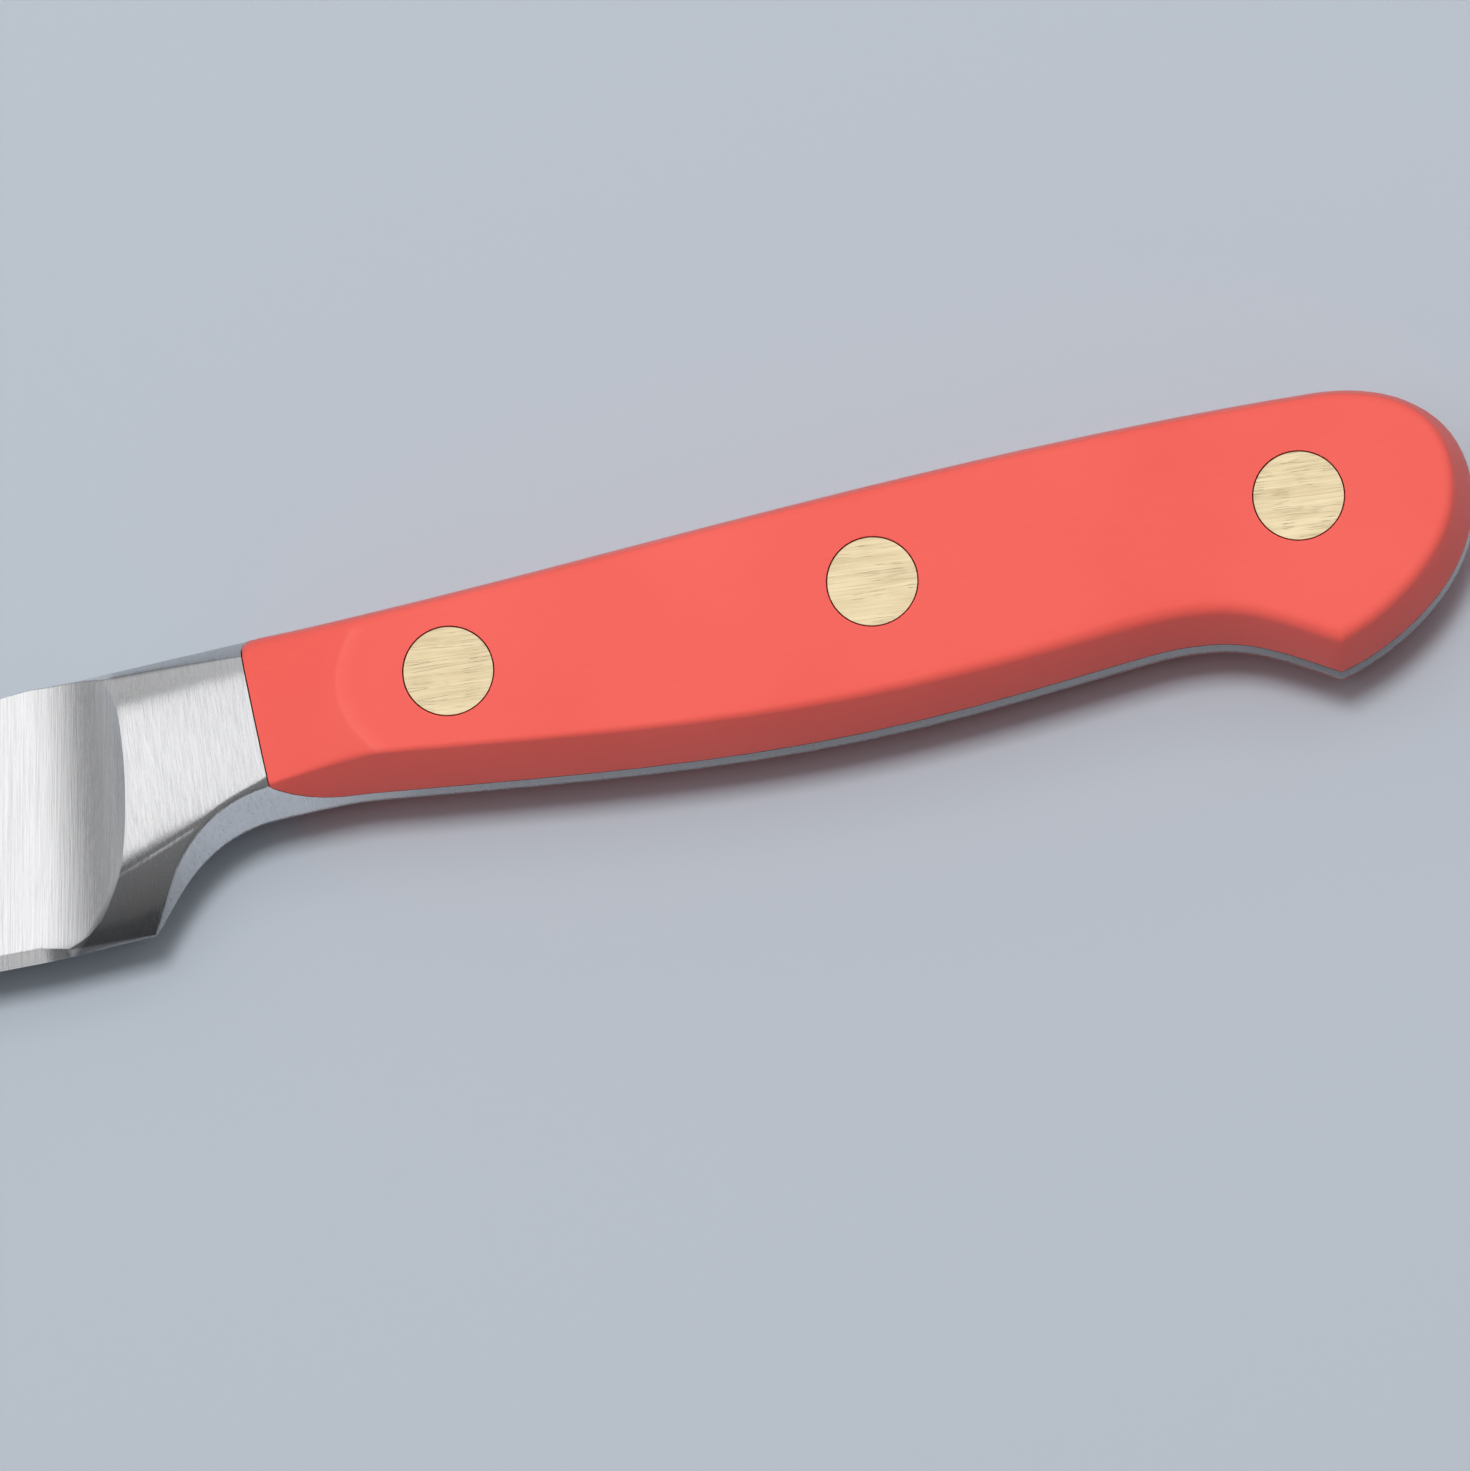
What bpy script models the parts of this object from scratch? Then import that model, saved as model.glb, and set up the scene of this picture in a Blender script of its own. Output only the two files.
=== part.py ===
"""Steak knife: a forged blade with bolster and full tang, two handle scales, three two-part rivets.

The knife lies on its side. X runs from the blade's tip to the butt, Y from the cutting edge to the back,
Z from the far scale up to the near one. While it is shaped, X = 0 is the joint between bolster and scales,
Y = 0 is the line of the middle rivet and Z = 0 is the middle plane of the steel. All sizes are millimetres.
"""
import math

import bmesh
import bpy
from mathutils import Vector

MM = 0.001

# Blade
BLADE_LENGTH = 120.0        # tip to the corner of the heel
BLADE_HEIGHT = 21.0         # back to cutting edge where the blade meets the bolster
SPINE_THICKNESS = 2.2
TIP_THICKNESS = 1.1
BEVEL_WIDTH = 1.2           # the ground edge
BEVEL_THICKNESS = 0.64      # where the ground edge begins
EDGE_LAND = 0.08            # the cutting edge itself

# Bolster
BOLSTER_LENGTH = 11.2       # joint to the corner of the heel
BOLSTER_THICKNESS = 11.0    # on the centre line, at the joint
PLUNGE_THICKNESS = 7.8      # on the centre line, at the rim over the blade
PLUNGE_RADIUS = 10.5        # the hollow between blade and bolster
PLUNGE_TILT = 0.15          # the hollow leans towards the handle at the back
CROWN_RADIUS = 40.0         # the faces are rounded across the knife
SHOULDER_START = 0.228      # of HANDLE_HEIGHT: this far above the centre line
SHOULDER_SLOPE = 0.2        # they begin to fall more towards the back
SHOULDER_BLEND = 1.0        # the rounding where that begins
SHOULDER_LEAN = 0.42        # lean of the back at the joint, as a part of its height
FACET_BLEND = 0.15          # the rounding where the lower facet begins
HEEL_THICKNESS = 0.4        # along the bottom of the heel
HEEL_RISE = 0.1             # from the cutting edge up to the corner of the heel
HEEL_BAND = 1.9             # height of the steep band above the bottom of the heel
HEEL_BAND_SLOPE = 0.74
HEEL_LEAN_PART = 0.15       # the wall of the notch stands steeper at the heel, by this part of the lean
HEEL_BEVEL = 0.45           # what is left of the ground edge where the heel begins
STEEL_CREASE = 0.18         # rounding of the bolster's long edges

# Handle
HANDLE_LENGTH = 94.8        # joint to the end of the butt
HANDLE_HEIGHT = 19.1        # back to belly in the middle
HANDLE_THICKNESS = 14.0
TANG_THICKNESS = 2.8
SIDE_LEAN = 0.314           # how far the sides lean in at the bolster, as a part of their height
HANDLE_LEAN = 0.24          # the same at the back of the handle and round the butt
RAMP_LENGTH = 6.7           # the faces fall over this length to the bolster
RAMP_CROWN_RADIUS = 22.0    # where the ramp ends it is rounder across than the bolster
FILLET_LENGTH = 6.5         # between the bolster and the tang, at the belly
BACK_FILLET_LENGTH = 1.7    # the same at the back
CORNER_LENGTH = 1.4         # rounding of the front corner of a scale, at the back
FRONT_LAND = 0.15           # square step behind the bolster, above the fillet
CREASE = 0.35               # rounding where face and belly side meet, at the ramp
BELLY_CREASE = 0.9          # the same at the hook
BACK_CREASE = 0.65          # and at the back
HOOK_NARROWING = 0.13       # the side is this much narrower at the corner of the hook

# Rivets
HEAD_DIAMETER = 6.88
HEAD_DEPTH = 2.2
BARREL_DIAMETER = 4.4
PIN_DIAMETER = 2.8

# Fits
JOINT_GAP = 0.1             # bolster to scale
GLUE_GAP = 0.1              # tang to scale
RIVET_GAP = 0.1             # round the heads and barrels
PIN_GAP = 0.06              # pin to barrel
HEAD_RECESS = 0.02          # heads under the faces

# The outline of the handle, in parts of HANDLE_LENGTH and HANDLE_HEIGHT: four points to a curve
JOINT_BACK = (0.0, 0.425)
JOINT_BELLY = (0.0, -0.314)
BUTT = (1.0, -0.047)
HOOK = (0.861, -0.736)
BACK_CURVES = (
    (JOINT_BACK, (0.195, 0.374), (0.548, 0.534), (0.886, 0.417)),
    ((0.886, 0.417), (0.948, 0.399), (1.0, 0.252), BUTT),
)
BELLY_CURVES = (
    (JOINT_BELLY, (0.026, -0.314), (0.053, -0.312), (0.074, -0.322)),
    ((0.074, -0.322), (0.222, -0.426), (0.359, -0.541), (0.506, -0.541)),
    ((0.506, -0.541), (0.600, -0.541), (0.675, -0.500), (0.731, -0.493)),
    ((0.731, -0.493), (0.788, -0.504), (0.804, -0.555), HOOK),
)
BUTT_CURVE = (HOOK, (0.889, -0.718), (1.0, -0.515), BUTT)

# The outline of the blade, in parts of BLADE_LENGTH and BLADE_HEIGHT from the start of the plunge to the tip
BLADE_BACK_CURVE = ((0.0, 0.0), (0.30, -0.07), (0.78, -0.15), (1.0, -0.36))
BLADE_EDGE_CURVE = ((0.0, 0.0), (0.12, 0.03), (0.80, 0.10), (1.0, 0.62))

# Where the handle is cut into columns
RAMP_PARTS = (0.03, 0.08, 0.18, 0.30, 0.44, 0.59, 0.74, 0.88)
RAMP_STRIP = 0.4            # the last columns of the ramp stand close together
FAN_PART = 0.7              # of HANDLE_LENGTH: from here the columns turn round the butt

# Steps of the surfaces
FACE_STEPS = 18
FACE_CROWDING = 1.2         # the steps of a face are shorter near the belly
STEEL_CREASE_STEPS = 2
SCALE_CREASE_STEPS = 4
BLADE_COLUMNS = 20
PLUNGE_COLUMNS = 12
HEEL_COLUMNS = 5
NOTCH_COLUMNS = 14
MIDDLE_COLUMNS = 14
HOOK_COLUMNS = 14
BUTT_COLUMNS = 18
ROUND_SEGMENTS = 48

HALF = HANDLE_THICKNESS / 2
HALF_TANG = TANG_THICKNESS / 2
CENTRE_Y = 0.03 * HANDLE_HEIGHT
BACK_Y = JOINT_BACK[1] * HANDLE_HEIGHT
RIVET_X = (0.1625 * HANDLE_LENGTH, 0.5106 * HANDLE_LENGTH, 0.8587 * HANDLE_LENGTH)
RIVET_Y = (0.036 * HANDLE_HEIGHT, 0.0, -0.053 * HANDLE_HEIGHT)


# Plain curves

def bezier(points, steps):
    """Points of a cubic curve, both ends included."""
    a, b, c, d = (Vector(p) for p in points)
    curve = []
    for i in range(steps + 1):
        t = i / steps
        s = 1 - t
        curve.append(a * s ** 3 + b * 3 * s * s * t + c * 3 * s * t * t + d * t ** 3)
    return curve


def chain(curves, scale, steps=40):
    """Curves that follow each other, stretched by scale, as one row of points."""
    row = []
    for curve in curves:
        points = bezier(curve, steps)
        row += points if not row else points[1:]
    return [Vector((p.x * scale[0], p.y * scale[1])) for p in row]


def at_x(row, x):
    """The point of a row of points at a given X."""
    for p, q in zip(row, row[1:]):
        if p.x <= x <= q.x:
            return p.lerp(q, (x - p.x) / (q.x - p.x))
    return row[-1].copy()


def spread(row, steps):
    """Evenly spaced points along a row of points, both ends included."""
    lengths = [0.0]
    for p, q in zip(row, row[1:]):
        lengths.append(lengths[-1] + (q - p).length)
    points = []
    k = 0
    for i in range(steps + 1):
        goal = lengths[-1] * i / steps
        while k < len(row) - 2 and lengths[k + 1] < goal:
            k += 1
        part = (goal - lengths[k]) / (lengths[k + 1] - lengths[k])
        points.append(row[k].lerp(row[k + 1], part))
    return points


def inward(loop):
    """For each point of a clockwise closed outline, the step inward that moves both its sides by one."""
    steps = []
    count = len(loop)
    for i, p in enumerate(loop):
        before = (p - loop[i - 1]).normalized()
        after = (loop[(i + 1) % count] - p).normalized()
        m = Vector((before.y, -before.x))
        n = Vector((after.y, -after.x))
        steps.append((m + n) / (1 + m.dot(n)))
    return steps


def smooth_min(a, b, width):
    """The smaller of two heights, with the change between them rounded."""
    h = max(width - abs(a - b), 0.0) / width
    return min(a, b) - h * h * width / 4


# Heights of the faces over the middle plane

BOLSTER_SLOPE = (BOLSTER_THICKNESS - PLUNGE_THICKNESS) / 2 / BOLSTER_LENGTH
RAMP_SLOPE = (HANDLE_THICKNESS - BOLSTER_THICKNESS) / 2 / RAMP_LENGTH
RAMP_BEND = (RAMP_SLOPE - BOLSTER_SLOPE) / (RAMP_LENGTH + BOLSTER_LENGTH)


def centre_height(x):
    """Height along the centre line of bolster and ramp: a curve through three given thicknesses."""
    return BOLSTER_THICKNESS / 2 + x * (RAMP_SLOPE + RAMP_BEND * (x - RAMP_LENGTH))


def crowned(x, y):
    """The face of bolster and ramp, rounded across the knife."""
    ramp = min(max(x / RAMP_LENGTH, 0.0), 1.0)
    away = y - CENTRE_Y
    curvature = (1 - ramp) / CROWN_RADIUS + ramp / RAMP_CROWN_RADIUS
    shoulder = -smooth_min(SHOULDER_START * HANDLE_HEIGHT - away, 0.0, SHOULDER_BLEND)
    return centre_height(x) - away ** 2 * curvature / 2 - SHOULDER_SLOPE * (1 - ramp) * shoulder


def handle_height(x, y):
    return min(HALF, crowned(x, y))


def ramp_arc(y):
    """How much further from the joint the ramp ends at y than on the centre line."""
    end_slope = RAMP_SLOPE + RAMP_BEND * RAMP_LENGTH
    return (HALF - crowned(RAMP_LENGTH, y)) / end_slope


EDGE_Y = BACK_Y - BLADE_HEIGHT
HEEL = Vector((-BOLSTER_LENGTH, EDGE_Y + HEEL_RISE))
HEEL_RUN = 0.6 * BOLSTER_LENGTH
FACET_START = Vector((0.0, 0.63 * JOINT_BELLY[1] * HANDLE_HEIGHT))
FACET_LINE = Vector((-0.955, -0.296)).normalized()
FACET_DOWN = Vector((-FACET_LINE.y, FACET_LINE.x))


def heel_band(x, y):
    """The steep band along the bottom of the heel, which rises towards the corner."""
    bottom = HEEL.y + HEEL_RISE * (x - HEEL.x) / HEEL_RUN
    return HEEL_THICKNESS / 2 + HEEL_BAND_SLOPE * max(y - bottom, 0.0)


def facet(x, y):
    """The lower face of the bolster: falls from a line across it to the band at the corner of the heel."""
    p = Vector((x, y))
    below = (p - FACET_START).dot(FACET_DOWN)
    foot = p - FACET_DOWN * below
    end = HEEL + Vector((0.0, HEEL_BAND))
    whole = (end - FACET_START).dot(FACET_DOWN)
    top = end - FACET_DOWN * whole
    slope = (crowned(top.x, top.y) - heel_band(end.x, end.y)) / whole
    return crowned(foot.x, foot.y) - slope * below


def bolster_height(x, y):
    face = smooth_min(crowned(x, y), facet(x, y), FACET_BLEND)
    return smooth_min(face, heel_band(x, y), FACET_BLEND)


def plunge_start(y):
    """Where the blade's flat side ends: a straight line across the knife, a little off the square."""
    return -BOLSTER_LENGTH - 0.65 * PLUNGE_RADIUS + PLUNGE_TILT * (y - CENTRE_Y)


def blade_height(y):
    """The blade's flat side: thickest at the back, thin where the ground edge begins."""
    foot = EDGE_Y + BEVEL_WIDTH
    part = (y - foot) / (BACK_Y - foot)
    return BEVEL_THICKNESS / 2 + (SPINE_THICKNESS - BEVEL_THICKNESS) / 2 * part


def plunge_height(x, y):
    """The hollow that rises from the blade to the bolster."""
    run = max(x - plunge_start(y), 0.0)
    run = min(run, 0.9 * PLUNGE_RADIUS)
    rise = PLUNGE_RADIUS - math.sqrt(PLUNGE_RADIUS ** 2 - run ** 2)
    return blade_height(y) + rise


def rim_x(y):
    """Where the hollow meets the face of the bolster."""
    low = plunge_start(y)
    high = low + 0.9 * PLUNGE_RADIUS
    for _ in range(40):
        mid = (low + high) / 2
        if plunge_height(mid, y) < bolster_height(mid, y):
            low = mid
        else:
            high = mid
    return low


# Outline of the whole knife

class Column:
    """A station along the knife: its points on the back and on the belly, and the shape of its sides.

    back_body and belly_body tell the side of a blade (0) from the leaning side of the handle (1).
    """

    def __init__(self, back, belly, back_body, belly_body, height, bulge=None):
        self.back = back
        self.belly = belly
        self.back_body = back_body
        self.belly_body = belly_body
        self.height = height
        self.bulge = bulge or (lambda x, y: x)
        self.back_crease = STEEL_CREASE
        self.belly_crease = STEEL_CREASE
        self.bevel = 0.0
        self.back_lean = SIDE_LEAN
        self.belly_lean = SIDE_LEAN
        self.back_step = Vector((0.0, -1.0))
        self.belly_step = Vector((0.0, 1.0))


def blade_outline(curve, start_y):
    """A long curve of the blade as points from the tip to the plunge, closer together at the tip."""
    start_x = plunge_start(start_y)
    length = BLADE_LENGTH + BOLSTER_LENGTH + start_x
    fine = bezier(curve, 400)
    points = []
    for i in range(BLADE_COLUMNS + 1):
        p = fine[round(400 * (1 - (i / BLADE_COLUMNS) ** 1.5))]
        points.append(Vector((start_x - length * p.x, start_y + BLADE_HEIGHT * p.y)))
    return points


def blade_column(back, belly, along):
    """A column of the blade, where along runs from 0 at the tip to 1 at the plunge."""
    spine = (TIP_THICKNESS + (SPINE_THICKNESS - TIP_THICKNESS) * along) / 2
    bevel = min(BEVEL_WIDTH, 0.3 * (back - belly).length)
    foot = belly.y + bevel

    def height(x, y):
        part = (y - foot) / max(back.y - foot, 0.01)
        return BEVEL_THICKNESS / 2 + (spine - BEVEL_THICKNESS / 2) * part

    column = Column(back, belly, 0.0, 0.0, height)
    column.bevel = bevel
    return column


def blade_columns():
    backs = blade_outline(BLADE_BACK_CURVE, BACK_Y)
    bellies = blade_outline(BLADE_EDGE_CURVE, EDGE_Y)
    columns = []
    for i, (back, belly) in enumerate(zip(backs, bellies)):
        columns.append(blade_column(back, belly, i / BLADE_COLUMNS))
    return columns


def rim_ends():
    """Where the rim of the plunge starts on the back and ends on the cutting edge."""
    reach = 0.0
    for _ in range(8):
        x = rim_x(BACK_Y - reach)
        reach = SIDE_LEAN * bolster_height(x, BACK_Y - reach)
    return Vector((x, BACK_Y)), Vector((rim_x(EDGE_Y + HEEL_BEVEL), EDGE_Y))


def plunge_columns(rim_back, rim_belly):
    start_back = Vector((plunge_start(BACK_Y), BACK_Y))
    start_belly = Vector((plunge_start(EDGE_Y), EDGE_Y))
    columns = []
    for k in range(1, PLUNGE_COLUMNS + 1):
        part = k / PLUNGE_COLUMNS
        back = start_back.lerp(rim_back, part)
        belly = start_belly.lerp(rim_belly, part)
        height = plunge_height if part < 1 else bolster_height

        def bulge(x, y, part=part):
            return plunge_start(y) + (rim_x(y) - plunge_start(y)) * part

        column = Column(back, belly, part, 0.0, height, bulge)
        column.bevel = BEVEL_WIDTH + (HEEL_BEVEL - BEVEL_WIDTH) * part
        columns.append(column)
    return columns


def bolster_columns(rim_back, rim_belly):
    joint_back = Vector((0.0, BACK_Y))
    joint_belly = Vector((0.0, JOINT_BELLY[1] * HANDLE_HEIGHT))
    notch = (joint_belly, joint_belly + Vector((-0.50 * BOLSTER_LENGTH, 0.0)),
             HEEL + Vector((0.26 * BOLSTER_LENGTH, 0.162 * BLADE_HEIGHT)), HEEL)
    bellies = spread([rim_belly, HEEL], HEEL_COLUMNS)[1:]
    bellies += spread(list(reversed(bezier(notch, 60))), NOTCH_COLUMNS)[1:]
    columns = []
    for k, belly in enumerate(bellies, 1):
        part = k / len(bellies)
        back = rim_back.lerp(joint_back, part)

        def bulge(x, y, left=max(1 - k / HEEL_COLUMNS, 0.0)):
            along = (y - rim_belly.y) / (rim_back.y - rim_belly.y)
            chord = rim_belly.x + (rim_back.x - rim_belly.x) * along
            return x + (rim_x(y) - chord) * left

        belly_body = min(k / HEEL_COLUMNS, 1.0)
        column = Column(back, belly, 1.0, belly_body, bolster_height, bulge)
        column.bevel = HEEL_BEVEL * (1 - belly_body)
        column.back_lean = SIDE_LEAN + (SHOULDER_LEAN - SIDE_LEAN) * part
        past_heel = max(k - HEEL_COLUMNS, 0) / NOTCH_COLUMNS
        column.belly_lean = SIDE_LEAN * min(HEEL_LEAN_PART + 2.2 * past_heel, 1.0)
        columns.append(column)
    return columns


HANDLE_SCALE = (HANDLE_LENGTH, HANDLE_HEIGHT)
TOP_ROW = chain(BACK_CURVES[:1], HANDLE_SCALE)
BELLY_ROW = chain(BELLY_CURVES, HANDLE_SCALE)


def handle_column(back, belly):
    """A column of the handle: its belly crease grows softer towards the hook, its side narrow there."""
    column = Column(back, belly, 1.0, 1.0, handle_height)
    ramp = min(back.x / RAMP_LENGTH, 1.0)
    behind = min(max(back.x - RAMP_LENGTH, 0.0) / (FAN_PART * HANDLE_LENGTH - RAMP_LENGTH), 1.0)
    before_butt = min((BUTT[0] - belly.x / HANDLE_LENGTH) / (BUTT[0] - HOOK[0]), 1.0)
    crease = STEEL_CREASE + (CREASE - STEEL_CREASE) * ramp + (BELLY_CREASE - CREASE) * behind ** 2
    column.back_crease = BACK_CREASE
    column.belly_crease = BACK_CREASE + (crease - BACK_CREASE) * before_butt
    corner = max(1 - back.x / CORNER_LENGTH, 0.0) ** 2
    column.back_lean = HANDLE_LEAN + (SHOULDER_LEAN - HANDLE_LEAN) * corner
    hook = Vector((HOOK[0] * HANDLE_LENGTH, HOOK[1] * HANDLE_HEIGHT))
    near = max(1 - ((belly - hook).length / (0.113 * HANDLE_LENGTH)) ** 2, 0.0)
    lean = SIDE_LEAN + (HANDLE_LEAN - SIDE_LEAN) * behind ** 2
    column.belly_lean = lean * (1 - HOOK_NARROWING * near * near)
    return column


def ramp_column(station):
    """A column that bends with the arc where the ramp ends, the more the nearer it is to that arc."""
    share = max(1 - abs(station - RAMP_LENGTH) / RAMP_LENGTH, 0.0)
    if RAMP_LENGTH - RAMP_STRIP <= station <= RAMP_LENGTH:
        share = 1.0
    side = ramp_arc(CENTRE_Y + 0.24 * HANDLE_HEIGHT)
    x = station + share * side
    column = handle_column(at_x(TOP_ROW, x), at_x(BELLY_ROW, x))
    column.bulge = lambda x, y: x - share * max(side - ramp_arc(y), 0.0)
    return column


def handle_columns():
    """From the bolster along the handle, then round the butt, where back and belly meet in one point."""
    fan = FAN_PART * HANDLE_LENGTH
    stations = [part * RAMP_LENGTH for part in RAMP_PARTS]
    stations += [RAMP_LENGTH - RAMP_STRIP, RAMP_LENGTH]
    stations += [RAMP_LENGTH + (fan - RAMP_LENGTH) * k / MIDDLE_COLUMNS for k in range(1, MIDDLE_COLUMNS)]
    columns = [ramp_column(station) for station in stations]
    backs = spread(after(TOP_ROW, fan), HOOK_COLUMNS)
    bellies = spread(after(BELLY_ROW, fan), HOOK_COLUMNS)
    backs += spread(chain(BACK_CURVES[1:], HANDLE_SCALE), BUTT_COLUMNS)[1:]
    bellies += spread(chain((BUTT_CURVE,), HANDLE_SCALE), BUTT_COLUMNS)[1:]
    return columns + [handle_column(back, belly) for back, belly in zip(backs, bellies)]


def after(row, x):
    """The part of a row of points from X onward."""
    return [at_x(row, x)] + [p for p in row if p.x > x]


def set_steps(columns):
    """Give every column the inward steps of the closed outline at its two points."""
    loop = [c.back for c in columns] + [c.belly for c in reversed(columns[1:-1])]
    steps = inward(loop)
    count = len(columns)
    for i, column in enumerate(columns):
        column.back_step = steps[i]
        column.belly_step = steps[-i] if 0 < i < count - 1 else steps[i]


# Sections: each is a row of points from the belly over the near face to the back

def side_points(column, back_side, levels, crease_steps):
    """The side of a section from its lowest level up to the face, with a rounded corner."""
    start = column.back if back_side else column.belly
    step = column.back_step if back_side else column.belly_step
    body = column.back_body if back_side else column.belly_body
    lean = column.back_lean if back_side else column.belly_lean
    bevel = 0.0 if back_side else column.bevel
    reach = bevel
    for _ in range(8):
        corner = start + step * reach
        height = column.height(corner.x, corner.y)
        reach = bevel + lean * body * height
    crease = column.back_crease if back_side else column.belly_crease
    rounding = min(crease, (0.1 + 0.25 * body) * height)
    power = 1 + 0.6 * body
    land = EDGE_LAND / 2
    points = []
    for z in levels(height - rounding):
        part = max(z - land, 0.0) / (height - land)
        p = start + step * (reach * part ** power)
        points.append(Vector((p.x, p.y, z)))
    foot = points[-1]
    corner = start + step * reach
    inner = start + step * (reach + rounding)
    corner = Vector((corner.x, corner.y, height))
    inner = Vector((inner.x, inner.y, column.height(inner.x, inner.y)))
    for k in range(1, crease_steps + 1):
        t = k / crease_steps
        points.append(foot * (1 - t) ** 2 + corner * 2 * t * (1 - t) + inner * t * t)
    return points


def section(column, belly_levels, back_levels, crease_steps):
    belly = side_points(column, False, belly_levels, crease_steps)
    back = side_points(column, True, back_levels, crease_steps)
    face = []
    for k in range(1, FACE_STEPS):
        p = belly[-1].lerp(back[-1], (k / FACE_STEPS) ** FACE_CROWDING)
        x = column.bulge(p.x, p.y)
        face.append(Vector((x, p.y, column.height(x, p.y))))
    return belly + face + back[::-1]


def forging_section(column, belly_top, back_top):
    """A section of the steel; the tops give the height of the tang at each side from that of the side."""
    land = EDGE_LAND / 2

    def levels_up_to(top):
        def levels(foot):
            high = top(foot)
            return [0.0, land, land + (high - land) / 3, land + (high - land) * 2 / 3, high, foot]
        return levels

    return section(column, levels_up_to(belly_top), levels_up_to(back_top), STEEL_CREASE_STEPS)


TANG_LEVEL = 4              # the number of the level where the tang's face meets its side


def lowered(row):
    """A section of the steel cut down to the face of the tang."""
    belly = row[TANG_LEVEL]
    back = row[-1 - TANG_LEVEL]
    points = []
    for p in row:
        part = (p.y - belly.y) / (back.y - belly.y) if back.y > belly.y else 0.0
        top = belly.z + (back.z - belly.z) * min(max(part, 0.0), 1.0)
        points.append(Vector((p.x, p.y, min(p.z, top))))
    return points


def scale_section(column, belly_bottom, back_bottom):
    """A section of a scale, with points along its glued face too."""
    def levels_from(bottom):
        return lambda foot: [bottom, (bottom + foot) / 2, foot]

    row = section(column, levels_from(belly_bottom), levels_from(back_bottom), SCALE_CREASE_STEPS)
    glued = [row[-1].lerp(row[0], k / FACE_STEPS) for k in range(1, FACE_STEPS)]
    return row + glued


# The pieces as meshes

def skin(rings, closed=False, cap=False):
    """A mesh over rings of points. Points that coincide are one vertex, and flat parts one face."""
    mesh = bmesh.new()
    known = {}

    def vertex(p):
        key = (round(p.x, 4), round(p.y, 4), round(p.z, 4))
        if key not in known:
            known[key] = mesh.verts.new(p * MM)
        return known[key]

    def face(corners):
        kept = list(dict.fromkeys(corners))
        if len(kept) > 2 and not mesh.faces.get(kept):
            mesh.faces.new(kept)

    rows = [[vertex(p) for p in ring] for ring in rings]
    if closed:
        rows.append(rows[0])
    for a, b in zip(rows, rows[1:]):
        for j in range(len(a)):
            k = (j + 1) % len(a)
            face((a[j], a[k], b[k], b[j]))
    if cap:
        face(rows[0])
    flat = math.radians(0.02)
    bmesh.ops.dissolve_limit(mesh, angle_limit=flat, verts=mesh.verts, edges=mesh.edges)
    bmesh.ops.recalc_face_normals(mesh, faces=mesh.faces)
    return mesh


def turned(profile, x, y):
    """A round solid about an upright axis at x, y, from a closed profile of radius and height."""
    rings = []
    for k in range(ROUND_SEGMENTS):
        angle = 2 * math.pi * k / ROUND_SEGMENTS
        across = Vector((math.cos(angle), math.sin(angle), 0.0))
        rings.append([Vector((x, y, z)) + across * r for r, z in profile])
    return skin(rings, closed=True)


def flipped(ring):
    return [Vector((p.x, p.y, -p.z)) for p in ring]


def knife_columns():
    """All columns from the tip to the butt, and the number of the one at the joint."""
    rim_back, rim_belly = rim_ends()
    columns = blade_columns() + plunge_columns(rim_back, rim_belly) + bolster_columns(rim_back, rim_belly)
    joint = len(columns) - 1
    columns += handle_columns()
    set_steps(columns)
    columns[joint].back_step = Vector((0.0, -1.0))
    columns[joint].belly_step = Vector((0.0, 1.0))
    return columns, joint


def side_foot(column, back_side):
    return side_points(column, back_side, lambda foot: [foot], 1)[0].z


def fillet(x, length, top):
    """Height of the tang's face, which falls from the top of the bolster's back wall."""
    part = max(1 - x / length, 0.0)
    return HALF_TANG + (top - HALF_TANG) * part ** 1.9


class Pocket:
    """The faces of the tang, with the fillets up to the back of the bolster."""

    def __init__(self, joint_column, front_column):
        self.belly_top = side_foot(front_column, False) - FRONT_LAND
        self.back_top = side_foot(front_column, True) - FRONT_LAND
        self.belly_share = self.belly_top / side_foot(joint_column, False)
        self.back_share = self.back_top / side_foot(joint_column, True)

    def heights(self, column):
        """The height of the tang at the belly and at the back of a column."""
        belly = fillet(column.belly.x, FILLET_LENGTH, self.belly_top)
        back = fillet(column.back.x, BACK_FILLET_LENGTH, self.back_top)
        return belly, back


def front_column():
    """Where the scales begin."""
    return handle_column(at_x(TOP_ROW, JOINT_GAP), at_x(BELLY_ROW, JOINT_GAP))


def forging_rings(columns, joint, pocket):
    tip = columns[0].back
    sections = []
    for column in columns[1:joint]:
        belly_share = lambda foot: foot * pocket.belly_share
        back_share = lambda foot: foot * pocket.back_share
        sections.append(forging_section(column, belly_share, back_share))
    outer = forging_section(columns[joint], lambda foot: pocket.belly_top, lambda foot: pocket.back_top)
    sections += [outer, lowered(outer)]
    for column in columns[joint + 1:]:
        belly_top, back_top = pocket.heights(column)
        row = forging_section(column, lambda foot: belly_top, lambda foot: back_top)
        sections.append(lowered(row))
    rings = [row + flipped(row[-2:0:-1]) for row in sections]
    return [[Vector((tip.x, tip.y, 0.0))] * len(rings[0])] + rings


def scale_rings(columns, joint, pocket):
    rings = []
    for column in [front_column()] + columns[joint + 1:]:
        belly_bottom, back_bottom = pocket.heights(column)
        rings.append(scale_section(column, belly_bottom + GLUE_GAP, back_bottom + GLUE_GAP))
    return rings


# Objects

def material(name, colour, roughness, metallic):
    surface = bpy.data.materials.new(name)
    surface.use_nodes = True
    shader = surface.node_tree.nodes["Principled BSDF"]
    shader.inputs["Base Color"].default_value = (*colour, 1.0)
    shader.inputs["Roughness"].default_value = roughness
    shader.inputs["Metallic"].default_value = metallic
    return surface


def brushed_steel():
    return material("brushed_steel", (0.62, 0.62, 0.63), 0.3, 1.0)


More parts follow.
